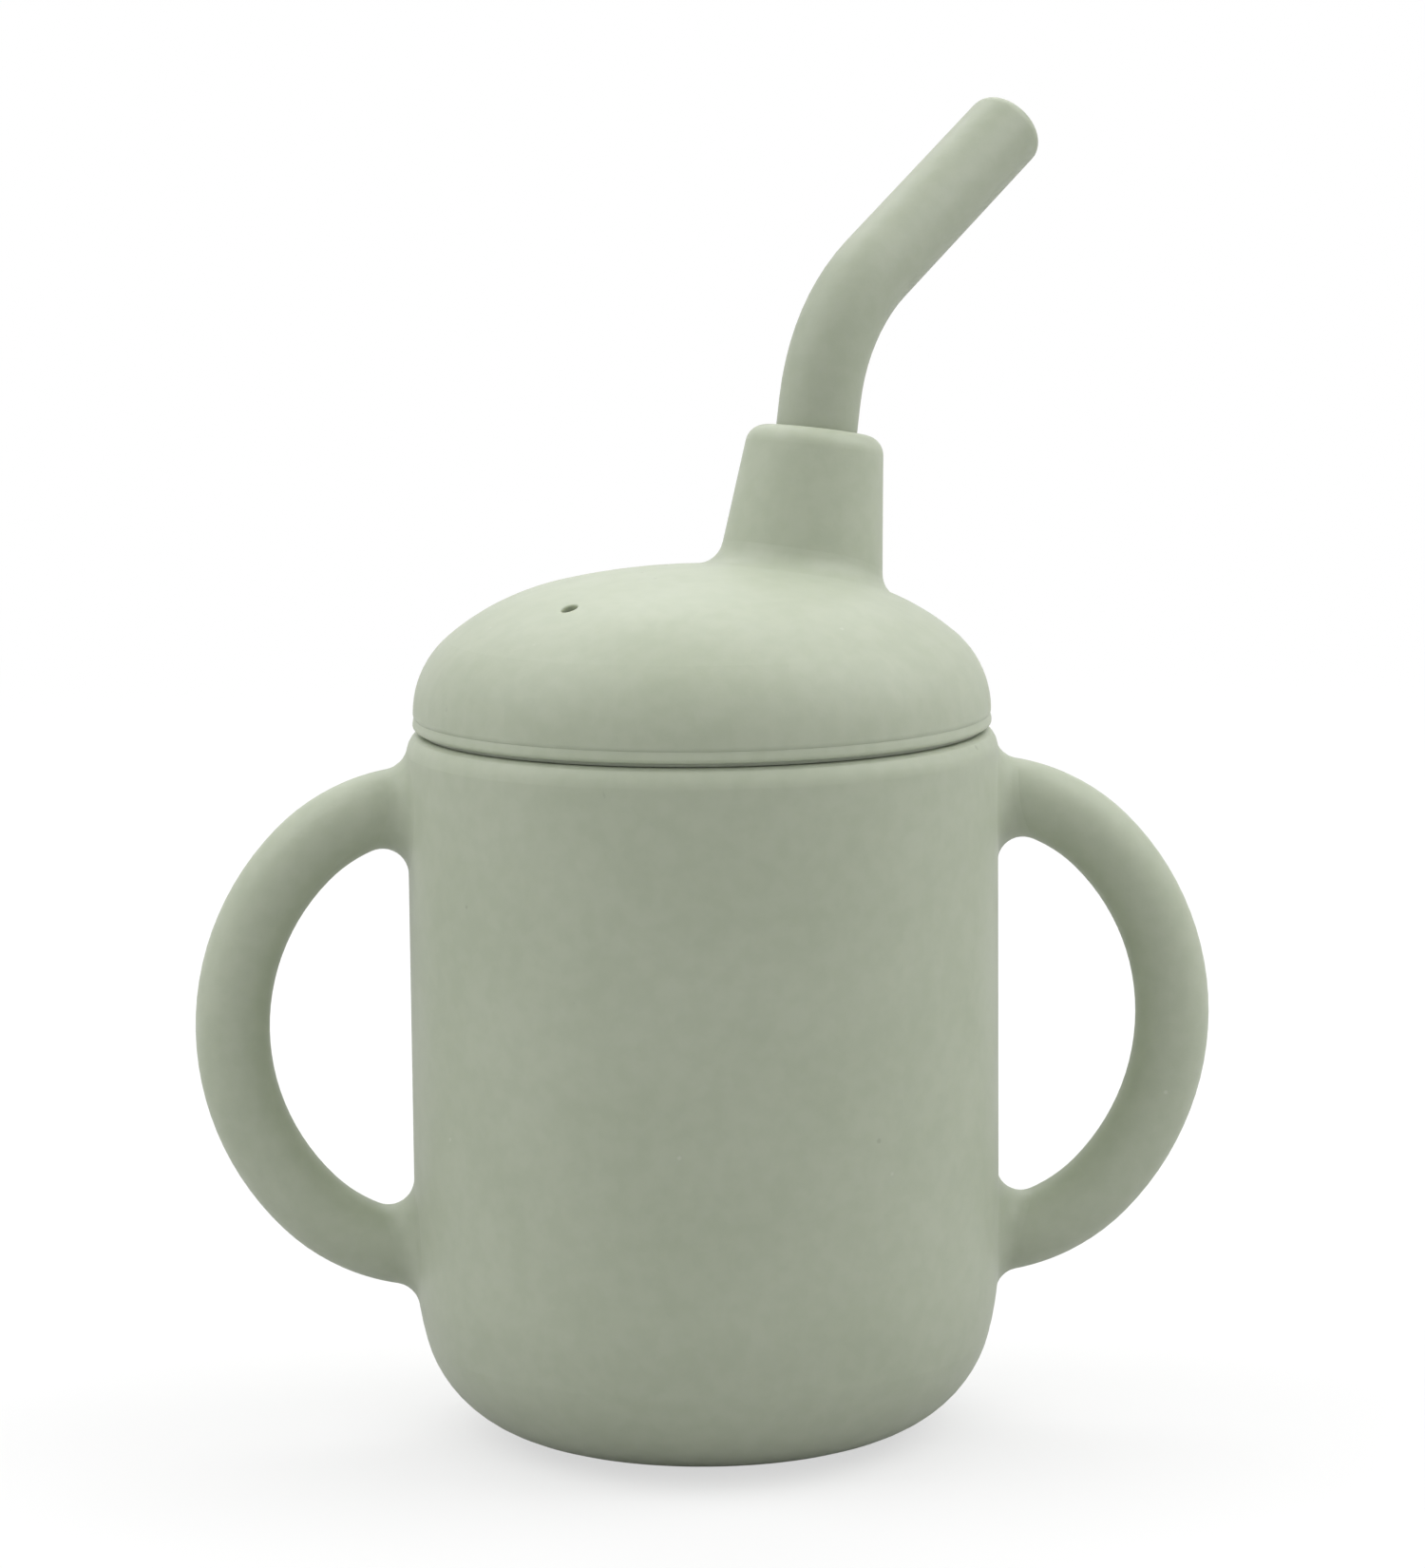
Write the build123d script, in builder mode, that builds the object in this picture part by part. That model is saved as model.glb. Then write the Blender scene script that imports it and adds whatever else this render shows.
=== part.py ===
from build123d import *
from math import cos, radians, sin, tan
import os

os.makedirs("parts", exist_ok=True)

# Silicone training cup: a cup with two loop handles, a domed lid with a leaning spout that plugs
# into the cup, and a bent straw that turns in the spout. Millimetres, +Z up. The origin is the
# centre of the base, and the handles lie along X.

# ---- cup ----
CUP_R = 35.0            # outer radius
RIM_Z = 84.4            # height of the rim
WALL = 3.5
FLOOR = 4.0
CORNER_RUN = 18.6       # how far the rounded bottom corner reaches inwards ...
CORNER_RISE = 21.0      # ... and upwards
CORNER_BENDS = ((37.3, 14.6), (15.1, 63.9))        # radius and degrees, from the wall down
INNER_CORNER_RUN = 16.0
INNER_CORNER_RISE = 18.0
INNER_CORNER_BENDS = ((31.9, 14.6), (13.0, 63.8))  # the same inside
RIM_EASE = 0.8          # below the rim the wall draws in by this much ...
RIM_EASE_H = 2.3        # ... starting this far down
RIM_ROUND = 0.35        # height of the rim's rounded edge
RIM_FLAT_R = 33.4       # outer radius of the rim's flat top
RIM_INNER_ROUND = 0.5

# ---- handles: half-ovals of three tangent arcs that start a little inside the wall ----
HANDLE_Z = 49.2         # height of the loops' centre
HANDLE_ROOT = 33.0      # distance of the loops' ends from the cup's axis
HANDLE_END_R = 20.5     # radius of the arcs at a loop's two ends ...
HANDLE_END_TURN = 45.0  # ... and the degrees that each one turns
HANDLE_SIDE_R = 29.7    # radius of the arc between them
HANDLE_R = 4.4          # tube radius
HANDLE_BLEND = 3.1      # fillet where a loop runs into the wall
JUNCTION_BAND = 1.0     # all edges of the junctions lie this near to the wall's outermost line

# ---- lid: dome and lip ----
LID_TOP = 103.7         # height of the dome
LID_R = 34.2
DOME_BENDS = ((79.0, 13.0), (29.5, 27.0))  # radius and degrees, from the top down
DOME_EDGE = 0.5         # height over which the dome's lower edge rounds in to the crease
CREASE_R = 34.05        # the crease between the dome and the lip
LIP_R = 34.25           # the lip is a bead
LIP_FOOT_R = 33.9
LIP_H = 1.35
LIP_SHOULDER = 0.85     # height from the bead's widest line up to the crease
LIP_GAP = 0.55          # open groove between the rim and the lip
SEAT_R = 33.2           # outer radius of the ring that sits on the rim
SEAT_GAP = 0.1          # clearance between that ring and the rim
ROOF = 3.0              # thickness of the dome at its top
ROOF_BENDS = ((80.0, 7.1), (36.6, 16.8))   # the same under the dome
VENT_R = 1.0
VENT_RHO = 21.4         # distance of the vent from the cup's axis, opposite the spout
VENT_Z = 100.4
VENT_TILT = 21.0        # degrees, so that the vent stands square to the dome
VENT_ROUND = 0.2

# ---- lid: plug skirt and its sealing ribs ----
SKIRT_R = 30.5
SKIRT_WALL = 2.0
SKIRT_H = 9.0           # from the seat down
SKIRT_ROUND = 0.7
RIB_R = 0.9             # radius of a rib's round section
RIB_CLEARANCE = 0.08    # between a rib's crest and the inside of the cup
RIB_DROPS = (2.8, 6.2)  # heights of the ribs, measured down from the rim

# ---- spout ----
LID_TURN = 41.5         # degrees about Z from the handle line to the way the spout leans
SPOUT_TILT = 10.0       # degrees from vertical
SPOUT_RHO = 17.35       # distance of the spout's axis from the cup's axis ...
SPOUT_Z = 104.0         # ... at this height, from where the lengths below are measured
SPOUT_LENGTH = 14.8     # up to the mouth
SPOUT_ROOT = 7.5        # down to the lower end of the boss under the dome
SPOUT_MOUTH_R = 8.1
SPOUT_TAPER = 6.2       # degrees
SPOUT_ROUND = 2.4       # the mouth's outer edge
SPOUT_BLEND = 3.4       # fillet where the spout rises from the dome
BORE_CLEARANCE = 0.06   # running fit of the straw
BORE_ROUND = 0.4

# ---- straw ----
STRAW_R = 4.9
STRAW_BORE_R = 2.7
STRAW_END_Z = 8.0       # height of the lower end's centre
STRAW_ABOVE = 3.7       # straight run above the mouth
BEND_R = 23.4
BEND_TURN = 45.5        # degrees
TIP_RUN = 29.8          # straight run from the bend to the tip
TIP_ROUND = 1.6
TIP_BORE_ROUND = 0.5
END_ROUND = 0.7
BEAD_R = 6.4            # stop bead below the boss
BEAD_H = 3.0
BEAD_ROUND = 1.2
BEAD_CLEARANCE = 0.4


def corner(start, heading, bends, end):
    """A rounded corner of tangent arcs, clockwise: one for each bend, and a last one on to end."""
    here = start
    for radius, degrees in bends:
        arc = JernArc(here, heading, radius, -degrees)
        here, heading = arc @ 1, arc % 1
    TangentArc(here, end, tangent=heading)


# ---- cup with its two handles, one moulding ----
end_turn = radians(HANDLE_END_TURN)
loop_rise = HANDLE_END_R * (1 - cos(end_turn)) + HANDLE_SIDE_R * cos(end_turn)
loop_low = HANDLE_Z - loop_rise
inner_r = CUP_R - WALL
inner_corner_z = FLOOR + INNER_CORNER_RISE

with BuildPart() as cup:
    with BuildSketch(Plane.YZ):
        with BuildLine():
            Line((0, 0), (CUP_R - CORNER_RUN, 0))
            corner((CUP_R, CORNER_RISE), (0, -1), CORNER_BENDS, (CUP_R - CORNER_RUN, 0))
            wall = Line((CUP_R, CORNER_RISE), (CUP_R, RIM_Z - RIM_EASE_H))
            ease = TangentArc(wall @ 1, (CUP_R - RIM_EASE, RIM_Z - RIM_ROUND), tangent=wall % 1)
            TangentArc(ease @ 1, (RIM_FLAT_R, RIM_Z), tangent=ease % 1)
            Polyline((RIM_FLAT_R, RIM_Z), (0, RIM_Z), (0, 0))
        make_face()
    revolve(axis=Axis.Z)

    for side in (1, -1):
        with BuildLine(Plane(origin=(0, 0, 0), x_dir=(side, 0, 0), z_dir=(0, -side, 0))) as loop:
            low_arc = JernArc((HANDLE_ROOT, loop_low), (1, 0), HANDLE_END_R, HANDLE_END_TURN)
            side_turn = 180 - 2 * HANDLE_END_TURN
            side_arc = JernArc(low_arc @ 1, low_arc % 1, HANDLE_SIDE_R, side_turn)
            JernArc(side_arc @ 1, side_arc % 1, HANDLE_END_R, HANDLE_END_TURN)
        loop_start = (side * HANDLE_ROOT, 0, loop_low)
        with BuildSketch(Plane(origin=loop_start, x_dir=(0, 0, -1), z_dir=(side, 0, 0))):
            Circle(HANDLE_R)
        sweep(path=loop.wire())
    for side in (1, -1):
        wall_x = side * CUP_R
        junctions = cup.edges().filter_by_position(
            Axis.X, wall_x - JUNCTION_BAND, wall_x + JUNCTION_BAND
        )
        fillet(junctions, HANDLE_BLEND)

    with BuildSketch(Plane.YZ):
        with BuildLine():
            Line((0, FLOOR), (inner_r - INNER_CORNER_RUN, FLOOR))
            corner(
                (inner_r, inner_corner_z),
                (0, -1),
                INNER_CORNER_BENDS,
                (inner_r - INNER_CORNER_RUN, FLOOR),
            )
            Line((inner_r, inner_corner_z), (inner_r, RIM_Z - RIM_INNER_ROUND))
            TangentArc(
                (inner_r, RIM_Z - RIM_INNER_ROUND),
                (inner_r + RIM_INNER_ROUND, RIM_Z),
                tangent=(0, 1),
            )
            Polyline((inner_r + RIM_INNER_ROUND, RIM_Z), (0, RIM_Z), (0, FLOOR))
        make_face()
    revolve(axis=Axis.Z, mode=Mode.SUBTRACT)

cup.part.label = "cup"
export_step(cup.part, "parts/cup.step")


# ---- the upright plane in which the spout and the straw lean ----
turn = radians(LID_TURN)
tilt = radians(SPOUT_TILT)
outwards = Vector(cos(turn), sin(turn), 0)
spout_foot = outwards * SPOUT_RHO + Vector(0, 0, SPOUT_Z)
spout_up = outwards * sin(tilt) + Vector(0, 0, cos(tilt))
spout_axis = Axis(spout_foot, spout_up)
spout_plane = Plane(origin=spout_foot, z_dir=spout_up)
# In lean_plane, X is square to the spout's axis, away from the middle, and Y is along that axis.
lean_x = outwards * cos(tilt) - Vector(0, 0, sin(tilt))
lean_plane = Plane(origin=spout_foot, x_dir=lean_x, z_dir=lean_x.cross(spout_up))

# ---- lid: dome, lip, seat, plug skirt and spout, one moulding ----
seat_z = RIM_Z + SEAT_GAP
lip_low = RIM_Z + LIP_GAP
lip_high = lip_low + LIP_H
lip_widest = lip_high - LIP_SHOULDER
dome_low = lip_high + DOME_EDGE
skirt_low = seat_z - SKIRT_H
skirt_inner_r = SKIRT_R - SKIRT_WALL
spout_root_r = SPOUT_MOUTH_R + (SPOUT_LENGTH + SPOUT_ROOT) * tan(radians(SPOUT_TAPER))

with BuildPart() as lid:
    # The profile lies square to the lean, so that no seam runs through the spout or the vent.
    with BuildSketch(Plane(origin=(0, 0, 0), x_dir=outwards.rotate(Axis.Z, 90), z_dir=outwards)):
        with BuildLine():
            corner((0, LID_TOP), (1, 0), DOME_BENDS, (LID_R, dome_low))
            TangentArc((LID_R, dome_low), (CREASE_R, lip_high), tangent=(0, -1))
            TangentArc((LIP_R, lip_widest), (CREASE_R, lip_high), tangent=(0, 1))
            TangentArc((LIP_R, lip_widest), (LIP_FOOT_R, lip_low), tangent=(0, -1))
            Polyline(
                (LIP_FOOT_R, lip_low),
                (SEAT_R, lip_low),
                (SEAT_R, seat_z),
                (SKIRT_R, seat_z),
                (SKIRT_R, skirt_low),
                (skirt_inner_r, skirt_low),
                (skirt_inner_r, seat_z),
            )
            corner((0, LID_TOP - ROOF), (1, 0), ROOF_BENDS, (skirt_inner_r, seat_z))
            Line((0, LID_TOP - ROOF), (0, LID_TOP))
        make_face()
        for drop in RIB_DROPS:
            with Locations((CUP_R - WALL - RIB_CLEARANCE - RIB_R, RIM_Z - drop)):
                Circle(RIB_R)
    revolve(axis=Axis.Z)
    skirt_edges = lid.faces().sort_by(Axis.Z)[0].edges()
    fillet(skirt_edges, SKIRT_ROUND)

    with BuildSketch(lean_plane):
        with BuildLine():
            Polyline(
                (0, -SPOUT_ROOT),
                (spout_root_r, -SPOUT_ROOT),
                (SPOUT_MOUTH_R, SPOUT_LENGTH),
                (0, SPOUT_LENGTH),
                close=True,
            )
        mouth_corner = make_face().vertices().sort_by(Axis(spout_foot, spout_up + lean_x))[-1]
        fillet(mouth_corner, SPOUT_ROUND)
    revolve(axis=spout_axis)
    junction = lid.edges(Select.LAST).filter_by(GeomType.BSPLINE).sort_by(Axis.Z)[-1]
    fillet(junction, SPOUT_BLEND)

    with BuildSketch(spout_plane):
        Circle(STRAW_R + BORE_CLEARANCE)
    extrude(amount=2 * SPOUT_LENGTH, both=True, mode=Mode.SUBTRACT)
    bore_edges = lid.edges(Select.LAST).filter_by(GeomType.CIRCLE)
    fillet(bore_edges, BORE_ROUND)

    vent_up = Vector(0, 0, cos(radians(VENT_TILT))) - outwards * sin(radians(VENT_TILT))
    with BuildSketch(Plane(origin=Vector(0, 0, VENT_Z) - outwards * VENT_RHO, z_dir=vent_up)):
        Circle(VENT_R)
    extrude(amount=2 * ROOF, both=True, mode=Mode.SUBTRACT)
    fillet(lid.edges(Select.LAST).sort_by(Axis.Z)[-1], VENT_ROUND)

lid.part.label = "lid"
export_step(lid.part, "parts/lid.step")


# ---- straw: straight up through the spout, then a bend and a straight tip ----
straw_low = (STRAW_END_Z - SPOUT_Z) / cos(tilt)  # along the spout's axis, like the lengths below
bend_start = SPOUT_LENGTH + STRAW_ABOVE
bead_high = -SPOUT_ROOT - BEAD_CLEARANCE

with BuildPart() as straw:
    with BuildLine(lean_plane) as route:
        Line((0, straw_low), (0, bend_start))
        bend = JernArc((0, bend_start), (0, 1), BEND_R, -BEND_TURN)
        Line(bend @ 1, (bend @ 1) + (bend % 1) * TIP_RUN)
    with BuildSketch(spout_plane.offset(straw_low)):
        Circle(STRAW_R)
    sweep(path=route.wire())
    with BuildSketch(spout_plane.offset(bead_high)):
        Circle(BEAD_R)
    extrude(amount=-BEAD_H)
    bead_edges = straw.edges(Select.LAST).filter_by(GeomType.CIRCLE).group_by(SortBy.LENGTH)[-1]
    fillet(bead_edges, BEAD_ROUND)
    with BuildSketch(spout_plane.offset(straw_low)):
        Circle(STRAW_BORE_R)
    sweep(path=route.wire(), mode=Mode.SUBTRACT)

    low_edges = straw.faces().filter_by(GeomType.PLANE).sort_by(Axis.Z)[0].edges()
    fillet(low_edges, END_ROUND)
    tip_edges = straw.faces().filter_by(GeomType.PLANE).sort_by(Axis.Z)[-1].edges()
    fillet(tip_edges.sort_by(SortBy.LENGTH)[-1], TIP_ROUND)
    tip_edges = straw.faces().filter_by(GeomType.PLANE).sort_by(Axis.Z)[-1].edges()
    fillet(tip_edges.sort_by(SortBy.LENGTH)[0], TIP_BORE_ROUND)

straw.part.label = "straw"
export_step(straw.part, "parts/straw.step")
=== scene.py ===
from math import cos, pi, sin

import bmesh
import bpy
from mathutils import Matrix, Vector

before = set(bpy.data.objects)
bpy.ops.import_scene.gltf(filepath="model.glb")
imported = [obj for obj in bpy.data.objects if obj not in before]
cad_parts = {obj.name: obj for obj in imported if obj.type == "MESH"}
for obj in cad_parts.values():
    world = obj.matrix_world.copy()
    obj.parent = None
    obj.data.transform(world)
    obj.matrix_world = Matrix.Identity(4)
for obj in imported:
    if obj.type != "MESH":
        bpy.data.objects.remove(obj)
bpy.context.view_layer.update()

BLACK = (0, 0, 0, 1)
WHITE = (1, 1, 1, 1)

# ---- camera, in metres and radians: level with the lid, a little to the left of the front ----
CAMERA_DISTANCE = 0.6177   # level distance from the cup's axis
CAMERA_HEIGHT = 0.1672
CAMERA_AZIMUTH = 0.060     # from straight ahead (-Y) towards the left handle (-X)
CAMERA_HEADING = 0.0619    # the way it looks, clockwise from +Y
CAMERA_PITCH = 0.1438      # downwards
CAMERA_ROLL = -0.0094
CAMERA_LENS = 120.8        # mm, on a sensor of CAMERA_SENSOR mm
CAMERA_SENSOR = 36.0
CAMERA_CLIP = (0.01, 50.0)


def build_camera():
    camera = bpy.data.objects.new("camera", bpy.data.cameras.new("camera"))
    bpy.context.scene.collection.objects.link(camera)
    camera.data.lens = CAMERA_LENS
    camera.data.sensor_width = CAMERA_SENSOR
    camera.data.clip_start, camera.data.clip_end = CAMERA_CLIP
    place = Vector((-sin(CAMERA_AZIMUTH), -cos(CAMERA_AZIMUTH), 0)) * CAMERA_DISTANCE
    place.z = CAMERA_HEIGHT
    camera.matrix_world = (
        Matrix.Translation(place)
        @ Matrix.Rotation(-CAMERA_HEADING, 4, "Z")
        @ Matrix.Rotation(pi / 2 - CAMERA_PITCH, 4, "X")
        @ Matrix.Rotation(CAMERA_ROLL, 4, "Z")
    )
    bpy.context.scene.camera = camera


# ---- material nodes ----
class Nodes:
    """The node tree of one new material, with short calls for the nodes used here."""

    def __init__(self, name):
        self.material = bpy.data.materials.new(name)
        self.material.use_nodes = True
        self.tree = self.material.node_tree
        self.shader = self.tree.nodes["Principled BSDF"]

    def plug(self, value, socket):
        """value is a number, a colour, or another node's output."""
        if isinstance(value, bpy.types.NodeSocket):
            self.tree.links.new(value, socket)
        else:
            socket.default_value = value

    def shade(self, values):
        """Sets the shader's inputs by name."""
        for name, value in values.items():
            self.plug(value, self.shader.inputs[name])

    def math(self, operation, first, second=0.0):
        node = self.tree.nodes.new("ShaderNodeMath")
        node.operation = operation
        self.plug(first, node.inputs[0])
        self.plug(second, node.inputs[1])
        return node.outputs[0]

    def vector(self, operation, first, second=(0, 0, 0)):
        node = self.tree.nodes.new("ShaderNodeVectorMath")
        node.operation = operation
        self.plug(first, node.inputs[0])
        self.plug(second, node.inputs[1])
        return node.outputs["Value" if operation == "LENGTH" else "Vector"]

    def ramp(self, value, low, high, to_low=0.0, to_high=1.0):
        """value from low to high becomes to_low to to_high, smoothly, and stays level outside."""
        node = self.tree.nodes.new("ShaderNodeMapRange")
        node.interpolation_type = "SMOOTHSTEP"
        for socket, number in zip(node.inputs[:5], (value, low, high, to_low, to_high)):
            self.plug(number, socket)
        return node.outputs["Result"]

    def place(self):
        return self.tree.nodes.new("ShaderNodeTexCoord").outputs["Object"]

    def noise(self, place, grain, detail=2.0, output="Fac"):
        """Noise with grains of about that many metres."""
        node = self.tree.nodes.new("ShaderNodeTexNoise")
        self.plug(place, node.inputs["Vector"])
        self.plug(1 / grain, node.inputs["Scale"])
        self.plug(detail, node.inputs["Detail"])
        return node.outputs[output]

    def mix(self, share, first, second):
        node = self.tree.nodes.new("ShaderNodeMix")
        node.data_type = "RGBA"
        self.plug(share, node.inputs["Factor"])
        self.plug(first, node.inputs[6])
        self.plug(second, node.inputs[7])
        return node.outputs[2]

    def bump(self, height, depth, under=None):
        """A height of 0 to 1 becomes relief of that depth in metres, on top of another bump."""
        node = self.tree.nodes.new("ShaderNodeBump")
        self.plug(depth, node.inputs["Distance"])
        self.plug(height, node.inputs["Height"])
        if under:
            self.plug(under, node.inputs["Normal"])
        return node.outputs["Normal"]


# ---- silicone: matt and a little translucent, with uneven pigment, a fine grain and some lint ----
GREEN_DEEP = (0.383, 0.425, 0.322, 1)
GREEN_PALE = (0.425, 0.463, 0.362, 1)
STRAW_SHADED_DEEP = (0.337, 0.374, 0.283, 1)  # the straw's greens are a little deeper than the cup's: painted shade, for the dimmer light that falls on the straw
STRAW_SHADED_PALE = (0.374, 0.407, 0.318, 1)
SILICONE = {
    "IOR": 1.43,
    "Subsurface Weight": 0.5,
    "Subsurface Radius": (1.0, 1.0, 0.8),
    "Subsurface Scale": 0.0015,
    "Sheen Weight": 0.05,
    "Sheen Roughness": 0.4,
}
NOISE_MIDDLE = (0.3, 0.7)  # the range that most of a noise lies in

CLOUD = (0.014, 3.0)       # grain in metres and detail of the pigment's broad clouds
CLOUD_SHARE = 0.45
MOTTLE = (0.0022, 5.0)     # and of its fine mottle
MOTTLE_SHARE = 0.55

HANDLED = (0.009, 3.0)     # patches that hands have polished a little more or less
ROUGHNESS = (0.41, 0.49)
MOTTLE_ROUGHNESS = 0.03    # added where the mottle is pale

SKIN = (                   # grain, detail and depth of each layer of relief, in metres
    (0.016, 1.0, 0.00006),
    (0.0016, 2.0, 0.000012),
    (0.0003, 2.0, 0.000006),
)
DUST_HEIGHT = 0.00001
SEAM_HEIGHT = 0.00004
SEAM_EDGE = (0.00008, 0.0002)  # half the seam's width, from full height down to none
SEAM_FROM = 0.0335         # nearer the axis than this lies the cup's inside, without a seam

LINT_PALE = (0.52, 0.55, 0.47, 1)
LINT_DARK = (0.27, 0.29, 0.22, 1)
LINT_CELL = 0.0050         # one cell in a few holds a speck
DUST = (0, 0.14, 0.075)    # colour channel that picks the cells, share of them, radius in cells
DUST_SHOWS = 0.6
DIRT = (1, 0.10, 0.085)
DIRT_SHOWS = 0.5
FIBRE_CELL = 0.0065        # and here a short fibre, drawn out along Z and bent
FIBRE = (2, 0.16, 0.05)
FIBRE_SHOWS = 0.45
FIBRE_STRETCH = (1.0, 1.0, 0.3)
FIBRE_WANDER = 0.0025
FIBRE_BEND = FIBRE_WANDER / 2
SPECK_CORE = 0.4           # share of a speck's radius that shows in full


def specks(nodes, place, cell, channel, share, radius):
    """Sparse spots: 1 at their middle, 0 between them."""
    cells = nodes.tree.nodes.new("ShaderNodeTexVoronoi")
    nodes.plug(place, cells.inputs["Vector"])
    nodes.plug(1 / cell, cells.inputs["Scale"])
    draw = nodes.tree.nodes.new("ShaderNodeSeparateColor")
    nodes.plug(cells.outputs["Color"], draw.inputs[0])
    chosen = nodes.math("GREATER_THAN", draw.outputs[channel], 1 - share)
    spot = nodes.ramp(cells.outputs["Distance"], radius * SPECK_CORE, radius, 1.0, 0.0)
    return nodes.math("MULTIPLY", chosen, spot)


def fibres(nodes, place):
    wander = nodes.noise(place, FIBRE_WANDER, output="Color")
    bent = nodes.vector("MULTIPLY", wander, (FIBRE_BEND, FIBRE_BEND, FIBRE_BEND))
    drawn = nodes.vector("ADD", nodes.vector("MULTIPLY", place, FIBRE_STRETCH), bent)
    return specks(nodes, drawn, FIBRE_CELL, *FIBRE)


def mould_seam(nodes, place):
    """The faint line that the mould's two halves leave in the handles' plane, outside only."""
    axes = nodes.tree.nodes.new("ShaderNodeSeparateXYZ")
    nodes.plug(place, axes.inputs[0])
    line = nodes.ramp(nodes.math("ABSOLUTE", axes.outputs["Y"]), *SEAM_EDGE, 1.0, 0.0)
    outside = nodes.math("GREATER_THAN", nodes.math("ABSOLUTE", axes.outputs["X"]), SEAM_FROM)
    return nodes.math("MULTIPLY", line, outside)


def silicone(name, deep=GREEN_DEEP, pale=GREEN_PALE, seam=False):
    nodes = Nodes(name)
    place = nodes.place()
    clouds = nodes.ramp(nodes.noise(place, *CLOUD), *NOISE_MIDDLE)
    mottle = nodes.ramp(nodes.noise(place, *MOTTLE), *NOISE_MIDDLE)
    pigment = nodes.math(
        "ADD",
        nodes.math("MULTIPLY", clouds, CLOUD_SHARE),
        nodes.math("MULTIPLY", mottle, MOTTLE_SHARE),
    )
    colour = nodes.mix(pigment, deep, pale)
    dust = specks(nodes, place, LINT_CELL, *DUST)
    dirt = specks(nodes, place, LINT_CELL, *DIRT)
    fibre = fibres(nodes, place)
    colour = nodes.mix(nodes.math("MULTIPLY", dust, DUST_SHOWS), colour, LINT_PALE)
    colour = nodes.mix(nodes.math("MULTIPLY", dirt, DIRT_SHOWS), colour, LINT_DARK)
    colour = nodes.mix(nodes.math("MULTIPLY", fibre, FIBRE_SHOWS), colour, LINT_DARK)

    polish = nodes.ramp(nodes.noise(place, *HANDLED), *NOISE_MIDDLE, *ROUGHNESS)
    rough = nodes.math("ADD", polish, nodes.math("MULTIPLY", mottle, MOTTLE_ROUGHNESS))

    relief = None
    for grain, detail, depth in SKIN:
        relief = nodes.bump(nodes.noise(place, grain, detail), depth, relief)
    relief = nodes.bump(dust, DUST_HEIGHT, relief)
    if seam:
        relief = nodes.bump(mould_seam(nodes, place), SEAM_HEIGHT, relief)

    nodes.shade(SILICONE)
    nodes.shade({"Base Color": colour, "Roughness": rough, "Normal": relief})
    return nodes.material


def dress(node, material):
    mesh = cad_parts[node].data
    mesh.materials.clear()
    mesh.materials.append(material)


# ---- studio: a white room, lit by three soft panels, by the air and by a pale floor ----
# The camera sees a floor and a backdrop that light nothing; a grey plane that it doesn't see, just
# below that floor, sends the light back up.
FLOOR_SIZE = 8.0
FLOOR_DEEP = (0.30, 0.30, 0.30, 1)
FLOOR_GLOW = 0.62          # keeps the floor near white, so that only a soft shade is left on it
FLOOR_FADE = (0.20, 0.80)  # distance from the cup over which the floor turns plain white
BOUNCE_GREY = (0.50, 0.50, 0.50, 1)
BOUNCE_DROP = 0.0002
AIR_LIGHT = 0.77           # even light from all round
BACKDROP_R = 6.0
BACKDROP_SUBDIVISIONS = 3
PANEL_AIM = (0, 0, 0.08)
PANELS = {                 # place, size, power in watts
    "panel_back": ((0, 0.7, 0.95), (1.0, 0.8), 4.0),
    "panel_right": ((0.75, 0, 0.85), (0.8, 0.8), 5.5),
    "panel_left": ((-0.75, 0, 0.85), (0.8, 0.8), 4.4),
}


def area_light(name, place, aim, size, power):
    light = bpy.data.objects.new(name, bpy.data.lights.new(name, "AREA"))
    bpy.context.scene.collection.objects.link(light)
    light.data.shape = "RECTANGLE"
    light.data.size, light.data.size_y = size
    light.data.energy = power
    light.location = place
    light.rotation_euler = (Vector(aim) - Vector(place)).to_track_quat("-Z", "Y").to_euler()
    light.visible_camera = False


def stage_piece(name, corners, faces, paint):
    mesh = bpy.data.meshes.new(name)
    mesh.from_pydata(corners, [], faces)
    mesh.materials.append(paint)
    made = bpy.data.objects.new(name, mesh)
    bpy.context.scene.collection.objects.link(made)
    return made


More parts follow.
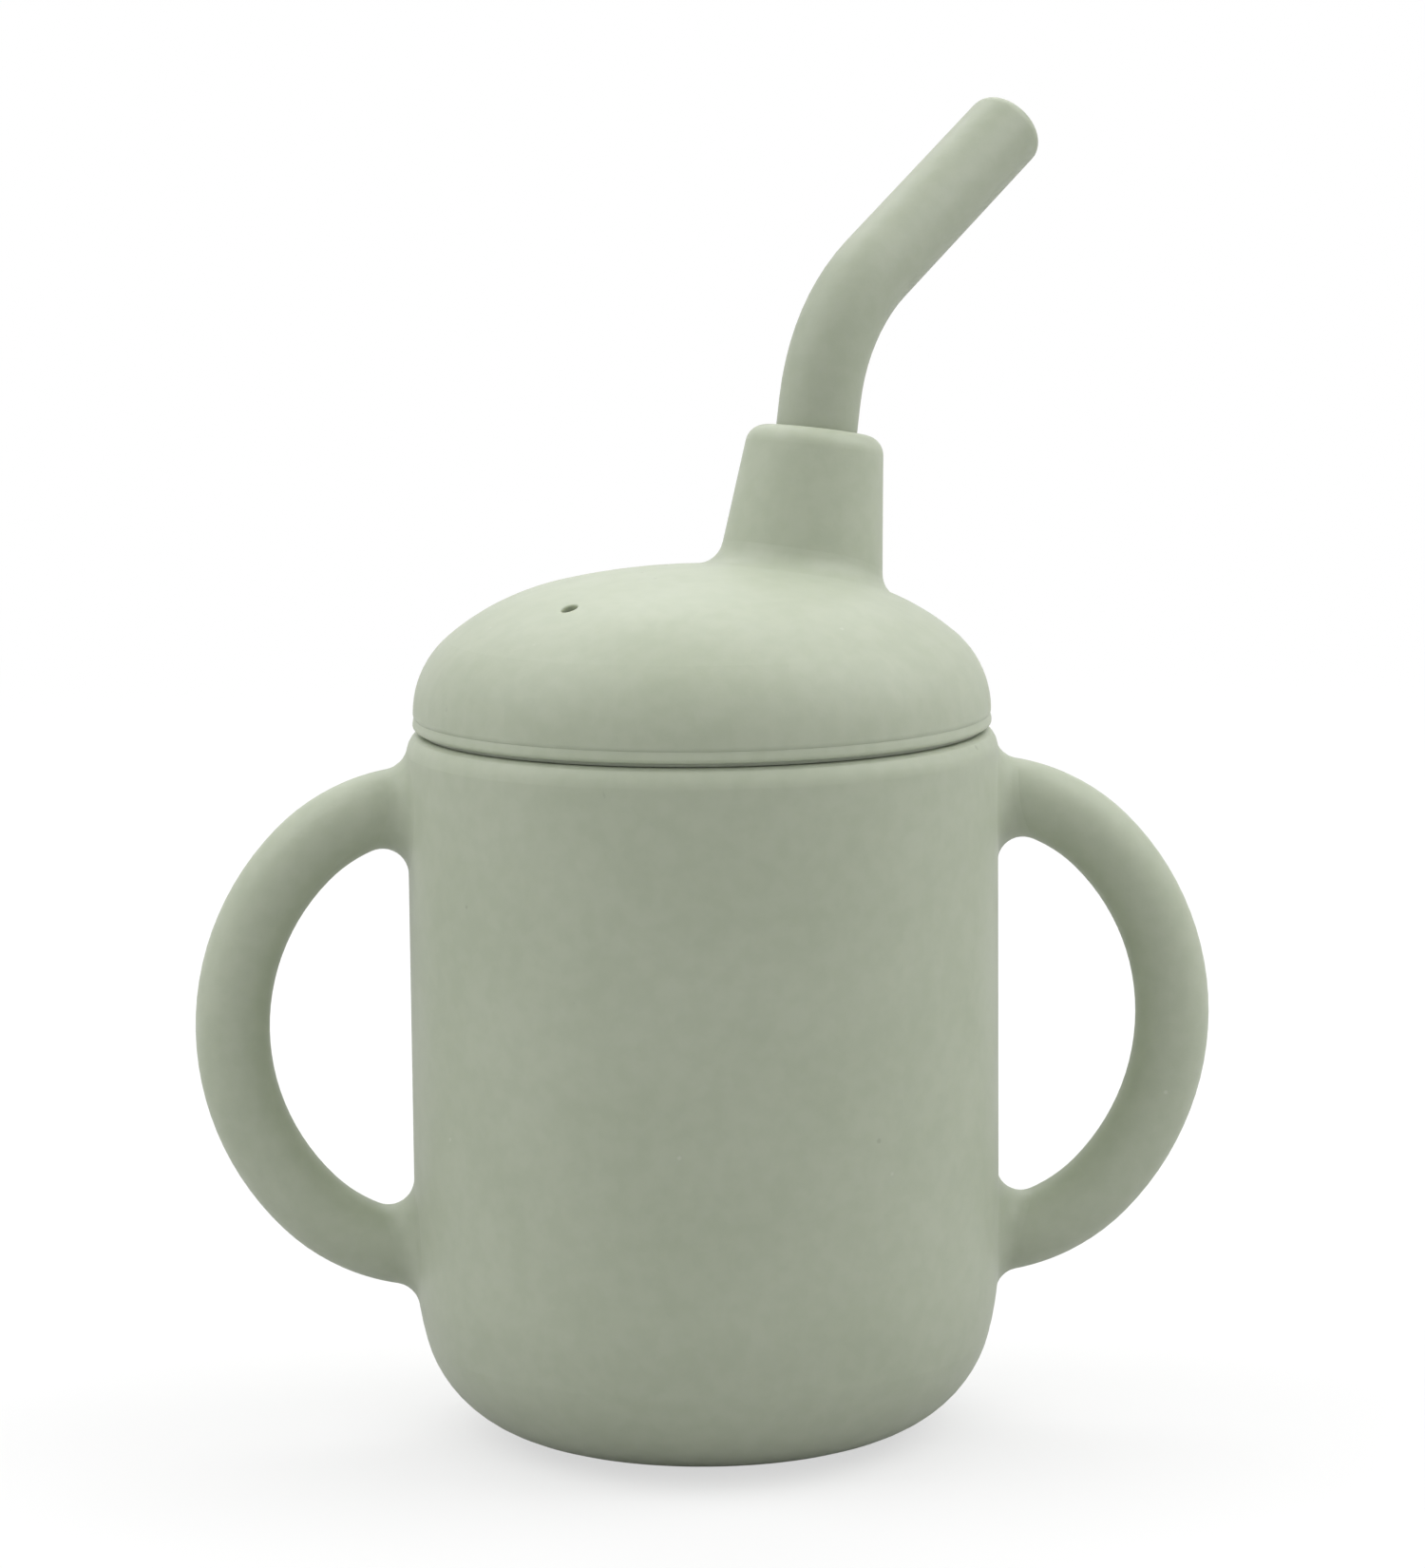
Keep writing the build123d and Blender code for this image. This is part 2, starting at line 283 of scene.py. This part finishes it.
def plane(name, height, paint):
    half = FLOOR_SIZE / 2
    corners = [(-half, -half, height), (half, -half, height),
               (half, half, height), (-half, half, height)]
    return stage_piece(name, corners, [(0, 1, 2, 3)], paint)


def floor_paint():
    nodes = Nodes("floor")
    distance = nodes.vector("LENGTH", nodes.place())
    nodes.shade({
        "Base Color": nodes.mix(nodes.ramp(distance, *FLOOR_FADE), FLOOR_DEEP, BLACK),
        "Roughness": 0.9,
        "Specular IOR Level": 0.0,
        "Emission Color": WHITE,
        "Emission Strength": nodes.ramp(distance, *FLOOR_FADE, FLOOR_GLOW, 1.0),
    })
    return nodes.material


def bounce_paint():
    nodes = Nodes("floor_bounce")
    nodes.shade({"Base Color": BOUNCE_GREY, "Roughness": 0.8})
    return nodes.material


def backdrop_paint():
    nodes = Nodes("backdrop")
    nodes.shade({
        "Base Color": BLACK,
        "Specular IOR Level": 0.0,
        "Emission Color": WHITE,
        "Emission Strength": 1.0,
    })
    return nodes.material


def only_seen(piece):
    """The camera sees the piece, and it neither lights nor shades anything."""
    piece.visible_diffuse = False
    piece.visible_glossy = False
    piece.visible_transmission = False
    piece.visible_shadow = False


def backdrop():
    ball = bmesh.new()
    bmesh.ops.create_icosphere(ball, subdivisions=BACKDROP_SUBDIVISIONS, radius=BACKDROP_R)
    corners = [tuple(vertex.co) for vertex in ball.verts]
    faces = [[vertex.index for vertex in face.verts] for face in ball.faces]
    ball.free()
    return stage_piece("backdrop", corners, faces, backdrop_paint())


def air():
    world = bpy.data.worlds.new("studio")
    bpy.context.scene.world = world
    world.use_nodes = True
    background = world.node_tree.nodes["Background"]
    background.inputs["Color"].default_value = WHITE
    background.inputs["Strength"].default_value = AIR_LIGHT


build_camera()
dress("cup", silicone("silicone_cup", seam=True))
dress("lid", silicone("silicone_lid"))
dress("straw", silicone("silicone_straw", STRAW_SHADED_DEEP, STRAW_SHADED_PALE))

for name, (place, size, power) in PANELS.items():
    area_light(name, place, PANEL_AIM, size, power)
only_seen(plane("floor", 0, floor_paint()))
plane("floor_bounce", -BOUNCE_DROP, bounce_paint()).visible_camera = False
only_seen(backdrop())
air()
bpy.context.scene.view_settings.view_transform = "Standard"
